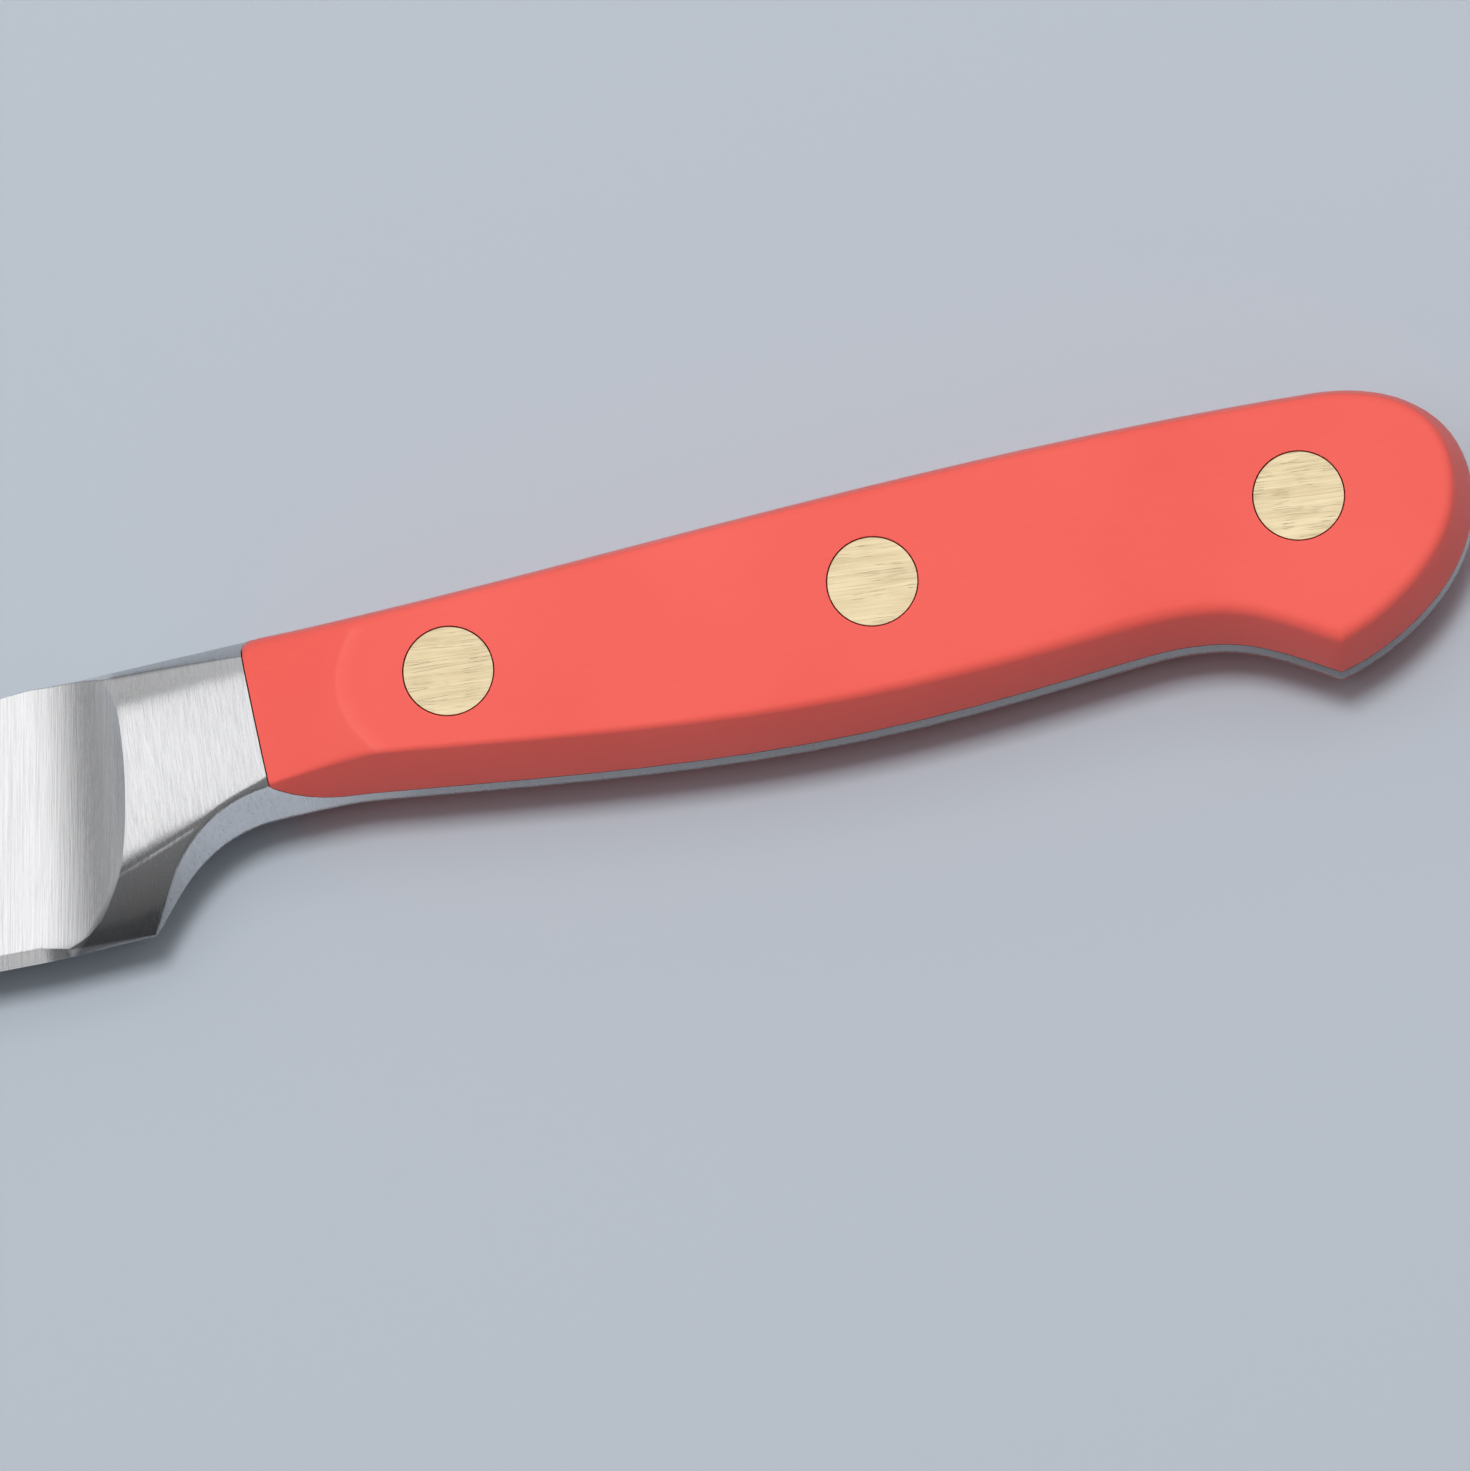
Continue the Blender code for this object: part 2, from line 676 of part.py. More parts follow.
def coral_plastic():
    return material("coral_plastic", (0.86, 0.115, 0.085), 0.45, 0.0)


def brass():
    return material("brass", (0.78, 0.62, 0.33), 0.35, 1.0)


def shade(data):
    """Smooth shading, but flat on the faces that the knife lies on, with the creases kept."""
    data.shade_smooth()
    for polygon in data.polygons:
        polygon.use_smooth = abs(polygon.normal.z) < 0.9999
    data.set_sharp_from_angle(angle=math.radians(28))


def add(name, mesh, surface, offset):
    data = bpy.data.meshes.new(name)
    mesh.to_mesh(data)
    mesh.free()
    shade(data)
    data.materials.append(surface)
    thing = bpy.data.objects.new(name, data)
    thing.location = offset
    bpy.context.scene.collection.objects.link(thing)
    return thing


def cut(thing, cutters):
    """Take the cutters out of a piece, then remove them."""
    for cutter in cutters:
        step = thing.modifiers.new(cutter.name, "BOOLEAN")
        step.operation = "DIFFERENCE"
        step.solver = "EXACT"
        step.object = cutter
    state = bpy.context.evaluated_depsgraph_get()
    thing.data = bpy.data.meshes.new_from_object(thing.evaluated_get(state))
    thing.modifiers.clear()
    shade(thing.data)
    for cutter in cutters:
        bpy.data.objects.remove(cutter)


def forging(rings, surface, offset):
    return add("forged_blade", skin(rings), surface, offset)


def near_scale(rings, surface, offset):
    return add("near_scale", skin(rings, cap=True), surface, offset)


def far_scale(rings, surface, offset):
    return add("far_scale", skin([flipped(ring) for ring in rings], cap=True), surface, offset)


HEAD_TOP = HALF - HEAD_RECESS
HEAD_FOOT = HEAD_TOP - HEAD_DEPTH


def rivet_post(name, x, y, surface, offset):
    """Flat head in the near scale, with a solid pin."""
    head = HEAD_DIAMETER / 2
    pin = PIN_DIAMETER / 2
    end = -HEAD_FOOT + PIN_GAP
    profile = ((0.0, HEAD_TOP), (head, HEAD_TOP), (head, HEAD_FOOT), (pin, HEAD_FOOT), (pin, end), (0.0, end))
    return add(name, turned(profile, x, y), surface, offset)


def rivet_sleeve(name, x, y, surface, offset):
    """Flat head in the far scale, with a barrel that holds the pin."""
    head = HEAD_DIAMETER / 2
    barrel = BARREL_DIAMETER / 2
    bore = PIN_DIAMETER / 2 + PIN_GAP
    rim = HEAD_FOOT - RIVET_GAP
    floor = -HEAD_FOOT - PIN_GAP
    profile = ((0.0, -HEAD_TOP), (head, -HEAD_TOP), (head, -HEAD_FOOT), (barrel, -HEAD_FOOT),
               (barrel, rim), (bore, rim), (bore, floor), (0.0, floor))
    return add(name, turned(profile, x, y), surface, offset)


def tang_cutter(name, x, y, surface, offset):
    hole = BARREL_DIAMETER / 2 + RIVET_GAP
    profile = ((0.0, HALF), (hole, HALF), (hole, -HALF), (0.0, -HALF))
    return add(name, turned(profile, x, y), surface, offset)


def scale_cutter(name, x, y, side, surface, offset):
    """A stepped hole for head and barrel; side is 1 for the near scale and -1 for the far one."""
    hole = BARREL_DIAMETER / 2 + RIVET_GAP
    head = HEAD_DIAMETER / 2 + RIVET_GAP
    floor = HEAD_FOOT - RIVET_GAP
    open_end = HANDLE_THICKNESS
    profile = ((0.0, open_end), (head, open_end), (head, floor), (hole, floor), (hole, 0.0), (0.0, 0.0))
    return add(name, turned([(r, z * side) for r, z in profile], x, y), surface, offset)


def middle(columns):
    """Where the knife is placed: the middle of its outline over the origin, resting on the far scale."""
    points = [c.back for c in columns] + [c.belly for c in columns]
    xs = [p.x for p in points]
    ys = [p.y for p in points]
    return Vector((-(min(xs) + max(xs)) / 2, -(min(ys) + max(ys)) / 2, HALF)) * MM


def build():
    for thing in list(bpy.data.objects):
        bpy.data.objects.remove(thing)
    columns, joint = knife_columns()
    pocket = Pocket(columns[joint], front_column())
    offset = middle(columns)
    steel = brushed_steel()
    plastic = coral_plastic()
    yellow = brass()
    blade = forging(forging_rings(columns, joint, pocket), steel, offset)
    rings = scale_rings(columns, joint, pocket)
    near = near_scale(rings, plastic, offset)
    far = far_scale(rings, plastic, offset)
    tang_cutters = []
    near_cutters = []
    far_cutters = []
    for word, x, y in zip(("front", "middle", "rear"), RIVET_X, RIVET_Y):
        rivet_post(word + "_rivet_post", x, y, yellow, offset)
        rivet_sleeve(word + "_rivet_sleeve", x, y, yellow, offset)
        tang_cutters.append(tang_cutter(word + "_tang_cutter", x, y, steel, offset))
        near_cutters.append(scale_cutter(word + "_near_cutter", x, y, 1, plastic, offset))
        far_cutters.append(scale_cutter(word + "_far_cutter", x, y, -1, plastic, offset))
    cut(blade, tang_cutters)
    cut(near, near_cutters)
    cut(far, far_cutters)


build()
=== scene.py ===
"""A steak knife with riveted coral-red scales, lying on a pale floor under soft light."""

import math

import bpy
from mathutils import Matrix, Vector


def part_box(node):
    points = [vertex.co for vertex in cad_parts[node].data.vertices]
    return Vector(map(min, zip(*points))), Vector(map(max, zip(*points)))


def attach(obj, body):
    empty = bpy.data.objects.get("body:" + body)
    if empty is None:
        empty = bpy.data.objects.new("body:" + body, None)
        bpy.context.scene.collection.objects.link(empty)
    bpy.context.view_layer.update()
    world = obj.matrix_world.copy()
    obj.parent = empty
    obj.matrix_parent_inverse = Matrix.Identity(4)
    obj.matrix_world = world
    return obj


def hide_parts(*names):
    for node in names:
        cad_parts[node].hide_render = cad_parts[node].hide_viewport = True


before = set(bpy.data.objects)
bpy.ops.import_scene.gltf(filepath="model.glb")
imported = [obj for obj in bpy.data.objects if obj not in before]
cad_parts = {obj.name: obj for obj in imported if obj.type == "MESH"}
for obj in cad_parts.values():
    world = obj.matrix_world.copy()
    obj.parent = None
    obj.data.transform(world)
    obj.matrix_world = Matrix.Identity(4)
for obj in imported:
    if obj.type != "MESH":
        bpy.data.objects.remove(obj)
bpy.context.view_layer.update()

MM = 0.001

# Rivets, in millimetres
HEAD_DEPTH = 2.2
BARREL_RADIUS = 2.2
PIN_RADIUS = 1.4
PIN_GAP = 0.06
HEAD_EDGE = 0.04                # rounding of a head's rim
RIVET_SIDES = 96

# From the front rivet to both ends of the bolster and to the cutting edge, in millimetres
RIM_FROM_RIVET = (-25.7, 3.2)   # the middle of the curved rim over the blade
RIM_SWEEP = 7.4                 # how far the rim sweeps towards the tip at the cutting edge
RIM_HALF_WIDTH = 0.3
JOINT_FROM_RIVET = -15.4
EDGE_FROM_RIVET = -13.6
SPINE_FROM_RIVET = 5.3          # where the side at the bolster's back begins, at the joint
SPINE_SWEEP = 0.086             # its slope towards the rim

# Painted shade and highlight on the steel, as shares of its colour, with the places in millimetres between
# which they change: shade near the heel's cutting edge, on the tang and on the bolster's back side, a
# highlight on the bolster's highest parts
HEEL_PAINTED_SHADE = (0.0, 6.5, 0.38, 1.0)           # up from the cutting edge
TOP_PAINTED_HIGHLIGHT = (10.6, 12.4, 1.0, 1.13)       # up from the floor
TANG_PAINTED_SHADE = (2.0, 12.0, 1.0, 0.5)           # back from the joint
SPINE_PAINTED_SHADE = (-0.1, 0.2, 1.0, 0.62)         # out over the side at the bolster's back

# Brush marks on the steel: their turn in degrees, and the sizes of fine and broad ones in millimetres
BLADE_BRUSH = (-12.4, (0.11, 6.0, 1.0), (0.3, 25.0, 3.0))
BOLSTER_BRUSH = (-4.0, (0.11, 1.8, 0.6), (0.4, 6.0, 3.0))
BLADE_MARK_DEPTH = 0.026
BOLSTER_MARK_DEPTH = 0.013

# The crease over the bolster's lower facet: its start at the joint, its turn, its height from -1.2 to 1.2 mm
CREASE_FROM_RIVET = (-15.4, -4.47, 0.0)
CREASE_TURN = 17.2
CREASE_REACH = 1.2
CREASE_PROFILE = ((0.0, (0.5, 0.5, 0.5)), (0.19, (0.5, 0.5, 0.5)), (0.28, (0.8, 0.8, 0.8)),
                  (0.38, (0.2, 0.2, 0.2)), (0.52, (0.5, 0.5, 0.5)))
CREASE_DEPTH = 0.03

# The arc where the scale's ramp meets its flat face, with a painted highlight just behind it: from the front
# rivet, and its bend 1 mm off the middle
ARC_FROM_RIVET = -8.7
ARC_BEND = 0.087
ARC_REACH = 4.7                 # to both sides of the rivet's middle

# Scratches on the brass: their sizes in millimetres, their turns in degrees, and their tone
SCRATCHES = (((24.0, 0.45, 1.0), -9.0), ((20.0, 0.6, 1.0), -3.0))
SCRATCH_TONE = 0.84

# Colours along the run of a finish's pattern, and the floor's
STEEL_TONES = ((0.36, (0.64, 0.642, 0.65)), (0.5, (0.715, 0.715, 0.725)), (0.64, (0.755, 0.755, 0.765)))
# the coral's lightest stop is reached mostly where the painted arc highlight is added
CORAL_TONES = ((0.3, (0.83, 0.110, 0.088)), (0.7, (0.88, 0.131, 0.107)), (1.0, (0.885, 0.156, 0.128)))
BRASS_TONES = ((0.36, (0.685, 0.555, 0.345)), (0.5, (0.735, 0.61, 0.385)), (0.64, (0.785, 0.67, 0.44)))
FLOOR_TONE = (0.462, 0.507, 0.565, 1.0)

# Panels of light, in metres: name, place, width, height, brightness
OVERHEAD = (("overhead", (0.235, 0.195, 0.9), 1.03, 0.85, 1.24),
            ("overhead_fading", (-0.45, 0.195, 0.9), 0.34, 0.85, 0.90),
            ("overhead_end", (-0.78, 0.195, 0.9), 0.32, 0.85, 0.47))
AROUND = (("beyond_the_tip", (-1.37, 0.1, 0.61), 1.6, 1.2, 0.25),
          ("in_front", (0.0, -0.62, 0.75), 1.6, 0.55, 0.12),
          ("behind", (-0.5, 1.08, 0.78), 0.9, 0.75, 0.50))
ONLY_MIRRORED = (("beyond_the_butt", (1.3, 0.0, 0.75), 3.0, 1.1, 0.55),
                 ("behind_right", (0.5, 1.08, 0.78), 1.1, 0.75, 0.50))
FILL = ("fill", (0.05, 0.14, 1.2), 0.26, 0.26, 38.5)

# The room's own glow: its colour, and its strength at two heights over the horizon
ROOM_COLOUR = (0.94, 0.97, 1.0, 1.0)
ROOM_STRENGTH = (("From Min", 0.2), ("From Max", 0.48), ("To Min", 0.30), ("To Max", 0.06))

# The floor, in metres
FLOOR_SIZE = 6.0
FLOOR_GAP = 0.00002             # under the knife

# The photograph's camera, from the middle of the middle rivet's head, in millimetres and degrees
CAMERA_PLACE = (8.031, -165.194, 699.205)
CAMERA_TURN = (11.900, 4.405, -12.428)
CAMERA_LENS = 231.2
CAMERA_SENSOR = 36.0


# Making meshes

def alone(piece):
    """Select one piece and nothing else."""
    bpy.ops.object.select_all(action="DESELECT")
    piece.select_set(True)
    bpy.context.view_layer.objects.active = piece


def edit(piece):
    """Open one piece for work on its faces."""
    alone(piece)
    bpy.ops.object.mode_set(mode="EDIT")
    bpy.ops.mesh.select_mode(type="FACE")


def done():
    bpy.ops.object.mode_set(mode="OBJECT")


def select_faces(piece, test):
    """Select the faces of the piece in edit mode that pass the test, and no others."""
    bpy.ops.mesh.select_all(action="DESELECT")
    bpy.ops.object.mode_set(mode="OBJECT")
    for face in piece.data.polygons:
        face.select = test(face)
    bpy.ops.object.mode_set(mode="EDIT")


def select_edges(piece, test):
    """Select the edges of the piece in edit mode whose two ends pass the test, and no others."""
    bpy.ops.mesh.select_all(action="DESELECT")
    bpy.ops.object.mode_set(mode="OBJECT")
    points = piece.data.vertices
    for line in piece.data.edges:
        line.select = all(test(points[i].co) for i in line.vertices)
    bpy.ops.object.mode_set(mode="EDIT")


def place(piece):
    """Put the piece's place and size into its mesh."""
    alone(piece)
    bpy.ops.object.transform_apply(location=True, rotation=True, scale=True)


def smooth(piece, angle):
    """Smooth shading with the creases kept; large faces keep their own direction up to their edges."""
    alone(piece)
    bpy.ops.object.shade_smooth_by_angle(angle=math.radians(angle))
    step = piece.modifiers.new("weights", "WEIGHTED_NORMAL")
    step.weight = 70
    step.keep_sharp = True
    bpy.ops.object.modifier_apply(modifier=step.name)


def finish(piece, surface, node):
    """Give the piece its surface and let it stand for its CAD node."""
    piece.data.materials.clear()
    piece.data.materials.append(surface)
    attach(piece, "root")
    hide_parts(node)


# Surfaces

class Surface:
    """A material whose nodes are added one by one."""

    def __init__(self, name, roughness, metallic):
        self.material = bpy.data.materials.new(name)
        self.material.use_nodes = True
        self.tree = self.material.node_tree
        self.shader = self.tree.nodes["Principled BSDF"]
        self.shader.inputs["Roughness"].default_value = roughness
        self.shader.inputs["Metallic"].default_value = metallic
        self.place = self.tree.nodes.new("ShaderNodeTexCoord").outputs["Object"]

    def link(self, source, target):
        self.tree.links.new(source, target)

    def feed(self, value, socket):
        """Set the socket to a number, or link it to another node."""
        if isinstance(value, (int, float)):
            socket.default_value = value
        else:
            self.link(value, socket)

    def marks(self, size, turn=0.0, start=(0.0, 0.0, 0.0)):
        """The place on the piece, for marks of a size in millimetres, turned about the upright axis."""
        node = self.tree.nodes.new("ShaderNodeMapping")
        node.vector_type = "TEXTURE"
        node.inputs["Location"].default_value = start
        node.inputs["Rotation"].default_value = (0.0, 0.0, math.radians(turn))
        node.inputs["Scale"].default_value = [length * MM for length in size]
        self.link(self.place, node.inputs["Vector"])
        return node.outputs["Vector"]

    def noise(self, where, detail, roughness):
        node = self.tree.nodes.new("ShaderNodeTexNoise")
        node.inputs["Scale"].default_value = 1.0
        node.inputs["Detail"].default_value = detail
        node.inputs["Roughness"].default_value = roughness
        self.link(where, node.inputs["Vector"])
        return node.outputs["Fac"]

    def math(self, operation, a, b=0.0):
        node = self.tree.nodes.new("ShaderNodeMath")
        node.operation = operation
        self.feed(a, node.inputs[0])
        self.feed(b, node.inputs[1])
        return node.outputs[0]

    def ranged(self, value, low, high, new_low, new_high):
        """The value, stretched from low and high to the new ends and held there."""
        node = self.tree.nodes.new("ShaderNodeMapRange")
        for name, number in zip(("From Min", "From Max", "To Min", "To Max"), (low, high, new_low, new_high)):
            node.inputs[name].default_value = number
        self.link(value, node.inputs["Value"])
        return node.outputs["Result"]

    def toned(self, value, start, tone):
        """A tone that changes between two distances in millimetres from the start."""
        near, far, first, last = tone
        return self.ranged(value, start + near * MM, start + far * MM, first, last)

    def colours(self, value, stops):
        """A colour that runs through the given (position, colour) stops with the value."""
        node = self.tree.nodes.new("ShaderNodeValToRGB")
        ramp = node.color_ramp
        while len(ramp.elements) < len(stops):
            ramp.elements.new(0.5)
        for element, (position, colour) in zip(ramp.elements, stops):
            element.position = position
            element.color = (*colour, 1.0)
        self.link(value, node.inputs["Fac"])
        return node.outputs["Color"]

    def darkened(self, colour, share):
        """The colour times share."""
        node = self.tree.nodes.new("ShaderNodeVectorMath")
        node.operation = "SCALE"
        self.link(colour, node.inputs[0])
        self.link(share, node.inputs["Scale"])
        return node.outputs[0]

    def mixed(self, share, a, b):
        """Between the values a and b by share."""
        node = self.tree.nodes.new("ShaderNodeMix")
        node.data_type = "FLOAT"
        for name, value in (("Factor", share), ("A", a), ("B", b)):
            self.feed(value, node.inputs[name])
        return node.outputs["Result"]

    def blended(self, fine, share, broad):
        """The fine pattern by share, and the broad one by the rest."""
        rest = self.math("MULTIPLY", broad, 1.0 - share)
        return self.math("ADD", self.math("MULTIPLY", fine, share), rest)

    def bump(self, height, depth):
        node = self.tree.nodes.new("ShaderNodeBump")
        node.inputs["Distance"].default_value = depth
        node.inputs["Strength"].default_value = 1.0
        self.link(height, node.inputs["Height"])
        self.link(node.outputs["Normal"], self.shader.inputs["Normal"])

    def axis(self, where, name):
        node = self.tree.nodes.new("ShaderNodeSeparateXYZ")
        self.link(where, node.inputs["Vector"])
        return node.outputs[name]

    def thin_lines(self, size, turn):
        """1 on broken thin scratches, 0 between them."""
        wave = self.noise(self.marks(size, turn), 0.0, 0.6)
        away = self.math("ABSOLUTE", self.math("SUBTRACT", wave, 0.5))
        kept = self.noise(self.marks((1.6, 1.6, 1.6)), 1.0, 0.6)
        line = self.ranged(away, 0.0, 0.015, 1.0, 0.0)
        return self.math("MULTIPLY", line, self.ranged(kept, 0.45, 0.6, 0.0, 1.0))

    def brushed(self, brush):
        """The fine and the broad marks of a belt."""
        turn, fine, broad = brush
        return self.noise(self.marks(fine, turn), 3.0, 0.7), self.noise(self.marks(broad, turn), 2.0, 0.5)

    def past_rim(self, along, across, rivet):
        """0 on the blade and 1 on the bolster; the rim between them sweeps towards the tip at the heel."""
        x = rivet.x + RIM_FROM_RIVET[0] * MM
        y = rivet.y + RIM_FROM_RIVET[1] * MM
        down = self.ranged(across, y, rivet.y + EDGE_FROM_RIVET * MM, 0.0, 1.0)
        sweep = self.math("MULTIPLY", self.math("POWER", down, 3.0), RIM_SWEEP * MM)
        return self.toned(self.math("ADD", along, sweep), x, (-RIM_HALF_WIDTH, RIM_HALF_WIDTH, 0.0, 1.0))

    def spine_shade(self, along, across, rivet):
        """Painted shade on the bolster's back side, which is made darker than the faces."""
        level = self.math("ADD", across, self.math("MULTIPLY", along, SPINE_SWEEP))
        joint = rivet.x + JOINT_FROM_RIVET * MM
        return self.toned(level, rivet.y + SPINE_FROM_RIVET * MM + joint * SPINE_SWEEP, SPINE_PAINTED_SHADE)

    def crease_line(self, rivet):
        """Height of the soft groove and ridge that the belt left where the bolster's lower facet begins."""
        start = rivet + Vector(CREASE_FROM_RIVET) * MM
        across = self.axis(self.marks((1.0, 1.0, 1.0), CREASE_TURN, start), "Y")
        groove = self.colours(self.ranged(across, -CREASE_REACH, CREASE_REACH, 0.0, 1.0), CREASE_PROFILE)
        return self.axis(groove, "X")

    def painted_arc_highlight(self, rivet):
        """A painted highlight: 1 just behind the arc where the ramp meets the flat face, fading over the
        face.
        """
        x = self.math("SUBTRACT", self.axis(self.place, "X"), rivet.x + ARC_FROM_RIVET * MM)
        y = self.math("SUBTRACT", self.axis(self.place, "Y"), rivet.y)
        sweep = self.math("MULTIPLY", self.math("MULTIPLY", y, y), ARC_BEND / MM)
        past = self.math("SUBTRACT", x, sweep)
        edge = self.toned(past, 0.0, (-0.15, 0.1, 0.0, 1.0))
        fading = self.toned(past, 0.0, (0.2, 1.4, 1.0, 0.0))
        on_face = self.toned(self.math("ABSOLUTE", y), 0.0, (ARC_REACH, ARC_REACH + 0.5, 1.0, 0.0))
        return self.math("MULTIPLY", self.math("MULTIPLY", edge, fading), on_face)


def brushed_steel(rivet):
    """Steel with the marks of the belt across the knife and painted shade and highlight, placed from the
    middle of the front rivet.
    """
    steel = Surface("brushed_steel", 0.22, 1.0)
    along = steel.axis(steel.place, "X")
    across = steel.axis(steel.place, "Y")
    on_bolster = steel.past_rim(along, across, rivet)
    # painted shade: the tang is made darker back from the joint, where it would mirror the shadowed floor
    painted_tang_shade = steel.toned(along, rivet.x + JOINT_FROM_RIVET * MM, TANG_PAINTED_SHADE)
    # painted shade: the bolster is made darker near the heel's cutting edge, where it would mirror dark
    # surroundings
    painted_heel_shade = steel.toned(across, rivet.y + EDGE_FROM_RIVET * MM, HEEL_PAINTED_SHADE)
    # painted highlight: the bolster's highest parts are made lighter
    painted_top_highlight = steel.toned(steel.axis(steel.place, "Z"), 0.0, TOP_PAINTED_HIGHLIGHT)
    # the bolster's painted shade and painted highlight together
    bolster_painted_light = steel.math("MULTIPLY", steel.math("MULTIPLY", painted_heel_shade, painted_top_highlight),
                              steel.spine_shade(along, across, rivet))
    tone = steel.math("MULTIPLY", painted_tang_shade, steel.mixed(on_bolster, 1.0, bolster_painted_light))
    blade_fine, blade_broad = steel.brushed(BLADE_BRUSH)
    bolster_fine, bolster_broad = steel.brushed(BOLSTER_BRUSH)
    lines = steel.blended(steel.mixed(on_bolster, blade_fine, bolster_fine), 0.8,
                          steel.mixed(on_bolster, blade_broad, bolster_broad))
    steel.link(steel.darkened(steel.colours(lines, STEEL_TONES), tone), steel.shader.inputs["Base Color"])
    steel.link(steel.ranged(lines, 0.35, 0.65, 0.29, 0.20), steel.shader.inputs["Roughness"])
    crease = steel.math("MULTIPLY", steel.crease_line(rivet), on_bolster)
    depth = steel.mixed(on_bolster, BLADE_MARK_DEPTH, BOLSTER_MARK_DEPTH)
    height = steel.math("ADD", steel.math("MULTIPLY", lines, depth),
                        steel.math("MULTIPLY", crease, CREASE_DEPTH))
    steel.bump(height, MM)
    return steel.material


def coral_plastic(rivet):
    """Satin moulded plastic, a little cloudy, with faint marks of polishing along the handle and a painted
    highlight just behind the ramp's arc.
    """
    plastic = Surface("coral_plastic", 0.4, 0.0)
    plastic.shader.inputs["Specular IOR Level"].default_value = 0.15
    cloud = plastic.noise(plastic.marks((16.0, 16.0, 16.0)), 2.0, 0.5)
    marks = plastic.noise(plastic.marks((3.0, 0.2, 0.2)), 3.0, 0.6)
    grain = plastic.noise(plastic.marks((0.11, 0.11, 0.11)), 2.0, 0.5)
    # painted highlight: the coral is made lighter just behind the ramp's arc
    arc_highlight = plastic.math("MULTIPLY", plastic.painted_arc_highlight(rivet), 0.3)
    shade = plastic.math("ADD", plastic.blended(cloud, 0.7, marks), arc_highlight)
    plastic.link(plastic.colours(shade, CORAL_TONES), plastic.shader.inputs["Base Color"])
    plastic.link(plastic.ranged(marks, 0.3, 0.7, 0.38, 0.48), plastic.shader.inputs["Roughness"])
    plastic.bump(plastic.math("ADD", marks, grain), 0.004 * MM)
    return plastic.material


def scratched_brass():
    """Brass ground flush along the handle, with fine scratches."""
    brass = Surface("scratched_brass", 0.35, 1.0)
    fine = brass.noise(brass.marks((7.0, 0.08, 0.3), -6.0), 2.0, 0.6)
    cloud = brass.noise(brass.marks((3.0, 1.2, 1.0), -9.0), 2.0, 0.5)
    both = brass.blended(fine, 0.7, cloud)
    steep, flat = (brass.thin_lines(size, turn) for size, turn in SCRATCHES)
    scratches = brass.math("MAXIMUM", steep, flat)
    tone = brass.ranged(scratches, 0.0, 1.0, 1.0, SCRATCH_TONE)
    brass.link(brass.darkened(brass.colours(both, BRASS_TONES), tone), brass.shader.inputs["Base Color"])
    brass.link(brass.ranged(both, 0.35, 0.65, 0.42, 0.30), brass.shader.inputs["Roughness"])
    brass.bump(brass.math("SUBTRACT", both, scratches), 0.006 * MM)
    return brass.material


def floor_paint():
    """Plain matt paint."""
    paint = Surface("floor_paint", 0.75, 0.0)
    paint.shader.inputs["Base Color"].default_value = FLOOR_TONE
    paint.shader.inputs["Specular IOR Level"].default_value = 0.2
    return paint.material


# The knife

def joined_copy(node, name):
    """A CAD piece as one skin: a copy whose loose triangles are joined, with flat parts as whole faces."""
    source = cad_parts[node]
    piece = source.copy()
    piece.data = source.data.copy()
    piece.name = name
    piece.data.name = name
    piece.parent = None
    for key in list(piece.keys()):
        del piece[key]
    bpy.context.scene.collection.objects.link(piece)
    alone(piece)
    bpy.ops.mesh.customdata_custom_splitnormals_clear()
    edit(piece)
    bpy.ops.mesh.select_all(action="SELECT")
    bpy.ops.mesh.remove_doubles(threshold=0.001 * MM)
    bpy.ops.mesh.dissolve_limited(angle_limit=math.radians(0.05))
    bpy.ops.mesh.normals_make_consistent(inside=False)
    done()
    return piece


def forging(steel):
    piece = joined_copy("forged_blade", "blade_bolster_and_tang")
    smooth(piece, 25)
    finish(piece, steel, "forged_blade")


def scale(side, plastic):
    piece = joined_copy(side + "_scale", side + "_handle_scale")
    smooth(piece, 50)
    finish(piece, plastic, side + "_scale")


def head_disc(name, low, high, upper):
    """A rivet's head as a disc at the upper or the lower end of its CAD box."""
    middle = (low + high) / 2
    depth = HEAD_DEPTH * MM
    z = high.z - depth / 2 if upper else low.z + depth / 2
    bpy.ops.object.select_all(action="DESELECT")
    bpy.ops.mesh.primitive_cylinder_add(vertices=RIVET_SIDES, radius=(high.x - low.x) / 2, depth=depth,
                                        location=(middle.x, middle.y, z))
    piece = bpy.context.object
    piece.name = name
    piece.data.name = name
    place(piece)
    return piece


def narrow(from_radius, to_radius):
    """Inset the chosen round face to a smaller radius."""
    bpy.ops.mesh.inset(thickness=(from_radius - to_radius) * math.cos(math.pi / RIVET_SIDES), depth=0.0)


def pull(length):
    """Extrude the chosen face upwards, or downwards by a negative length."""
    bpy.ops.mesh.extrude_region_move(TRANSFORM_OT_translate={"value": (0.0, 0.0, length)})


def shank(piece, low, high, upper, radius):
    """Draw a round shank out of the head's inner face, as far as the CAD box reaches."""
    way = -1 if upper else 1
    edit(piece)
    select_faces(piece, lambda face: face.normal.z * way > 0.99)
    narrow((high.x - low.x) / 2, radius)
    length = high.z - low.z - HEAD_DEPTH * MM
    pull(way * length)
    return length


def round_rim(piece, level):
    """Break the sharp edge of the head's outer face."""
    middle = sum((Vector(c) for c in piece.bound_box), Vector()) / 8
    inside = PIN_RADIUS * 2 * MM
    select_edges(piece, lambda co: abs(co.z - level) < 0.001 * MM
                 and math.hypot(co.x - middle.x, co.y - middle.y) > inside)
    bpy.ops.mesh.bevel(offset=HEAD_EDGE * MM, segments=2, affect="EDGES")
    done()


def rivet_post(word, brass):
    """The half whose head shows in the near scale, with its solid pin."""
    low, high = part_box(word + "_rivet_post")
    piece = head_disc(word + "_rivet_post_dressed", low, high, True)
    shank(piece, low, high, True, PIN_RADIUS * MM)
    round_rim(piece, high.z)
    smooth(piece, 30)
    finish(piece, brass, word + "_rivet_post")


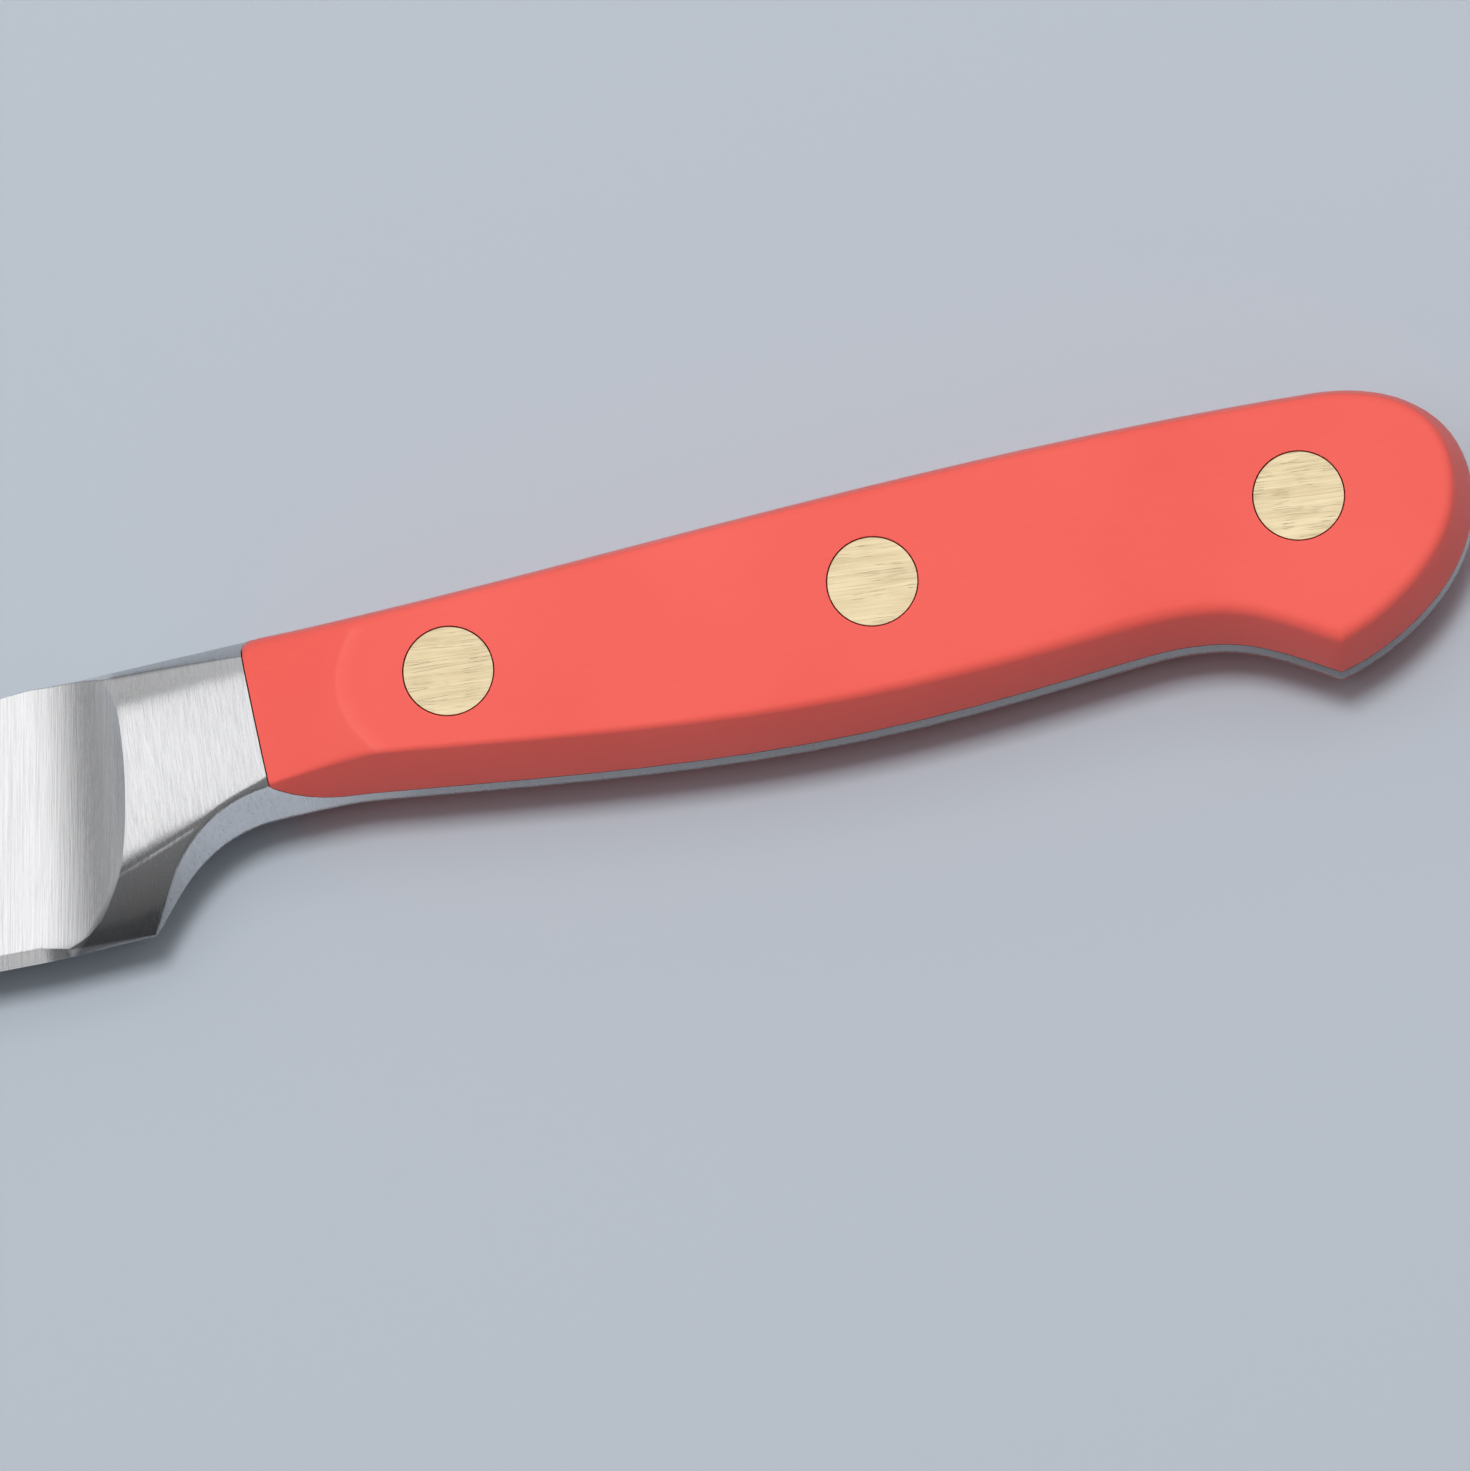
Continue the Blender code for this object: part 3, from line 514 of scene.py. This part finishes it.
def rivet_sleeve(word, brass):
    """The half whose head shows in the far scale, with its barrel bored for the pin."""
    low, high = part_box(word + "_rivet_sleeve")
    piece = head_disc(word + "_rivet_sleeve_dressed", low, high, False)
    length = shank(piece, low, high, False, BARREL_RADIUS * MM)
    narrow(BARREL_RADIUS * MM, (PIN_RADIUS + PIN_GAP) * MM)
    pull(-length)
    round_rim(piece, low.z)
    smooth(piece, 30)
    finish(piece, brass, word + "_rivet_sleeve")


# The room

def floor():
    bpy.ops.object.select_all(action="DESELECT")
    bpy.ops.mesh.primitive_plane_add(size=FLOOR_SIZE, location=(0.0, 0.0, -FLOOR_GAP))
    piece = bpy.context.object
    piece.name = "floor"
    place(piece)
    piece.data.materials.append(floor_paint())


def panel(name, where, width, height, radiance, aim=None):
    """A light panel of a given brightness, which looks straight down or at a point."""
    lamp = bpy.data.lights.new(name, "AREA")
    lamp.shape = "RECTANGLE"
    lamp.size = width
    lamp.size_y = height
    lamp.energy = radiance * math.pi * width * height
    holder = bpy.data.objects.new(name, lamp)
    holder.location = where
    if aim:
        holder.rotation_euler = (Vector(aim) - Vector(where)).to_track_quat("-Z", "Y").to_euler()
    bpy.context.scene.collection.objects.link(holder)
    return holder


def light():
    """Panels over the knife that the steel mirrors, dim ones at its sides, and a lamp for the shadow."""
    knife = (0.0, 0.0, 0.0)
    for sizes in OVERHEAD:
        panel(*sizes)
    for sizes in AROUND:
        panel(*sizes, knife)
    for sizes in ONLY_MIRRORED:
        holder = panel(*sizes, knife)
        holder.visible_diffuse = False
    lamp = panel(*FILL)
    lamp.visible_glossy = False


def room():
    """A dim room that glows a little more near the horizon."""
    world = bpy.data.worlds.new("studio")
    world.use_nodes = True
    nodes = world.node_tree.nodes
    way = nodes.new("ShaderNodeTexCoord")
    parts = nodes.new("ShaderNodeSeparateXYZ")
    fading = nodes.new("ShaderNodeMapRange")
    for name, number in ROOM_STRENGTH:
        fading.inputs[name].default_value = number
    ground = nodes["Background"]
    ground.inputs["Color"].default_value = ROOM_COLOUR
    for source, target in ((way.outputs["Generated"], parts.inputs["Vector"]),
                           (parts.outputs["Z"], fading.inputs["Value"]),
                           (fading.outputs["Result"], ground.inputs["Strength"])):
        world.node_tree.links.new(source, target)
    bpy.context.scene.world = world


def camera():
    low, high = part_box("middle_rivet_post")
    middle = (low + high) / 2
    eye = bpy.data.cameras.new("camera")
    eye.lens = CAMERA_LENS
    eye.sensor_width = CAMERA_SENSOR
    eye.clip_start = 0.01
    holder = bpy.data.objects.new("camera", eye)
    holder.location = Vector((middle.x, middle.y, high.z)) + Vector(CAMERA_PLACE) * MM
    holder.rotation_euler = [math.radians(turn) for turn in CAMERA_TURN]
    bpy.context.scene.collection.objects.link(holder)
    bpy.context.scene.camera = holder


def main():
    front = sum(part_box("front_rivet_post"), Vector()) / 2
    rivet = Vector((front.x, front.y, 0.0))
    steel = brushed_steel(rivet)
    plastic = coral_plastic(rivet)
    brass = scratched_brass()
    forging(steel)
    for side in ("near", "far"):
        scale(side, plastic)
    for word in ("front", "middle", "rear"):
        rivet_post(word, brass)
        rivet_sleeve(word, brass)
    floor()
    light()
    room()
    camera()
    bpy.context.scene.view_settings.view_transform = "Standard"


main()
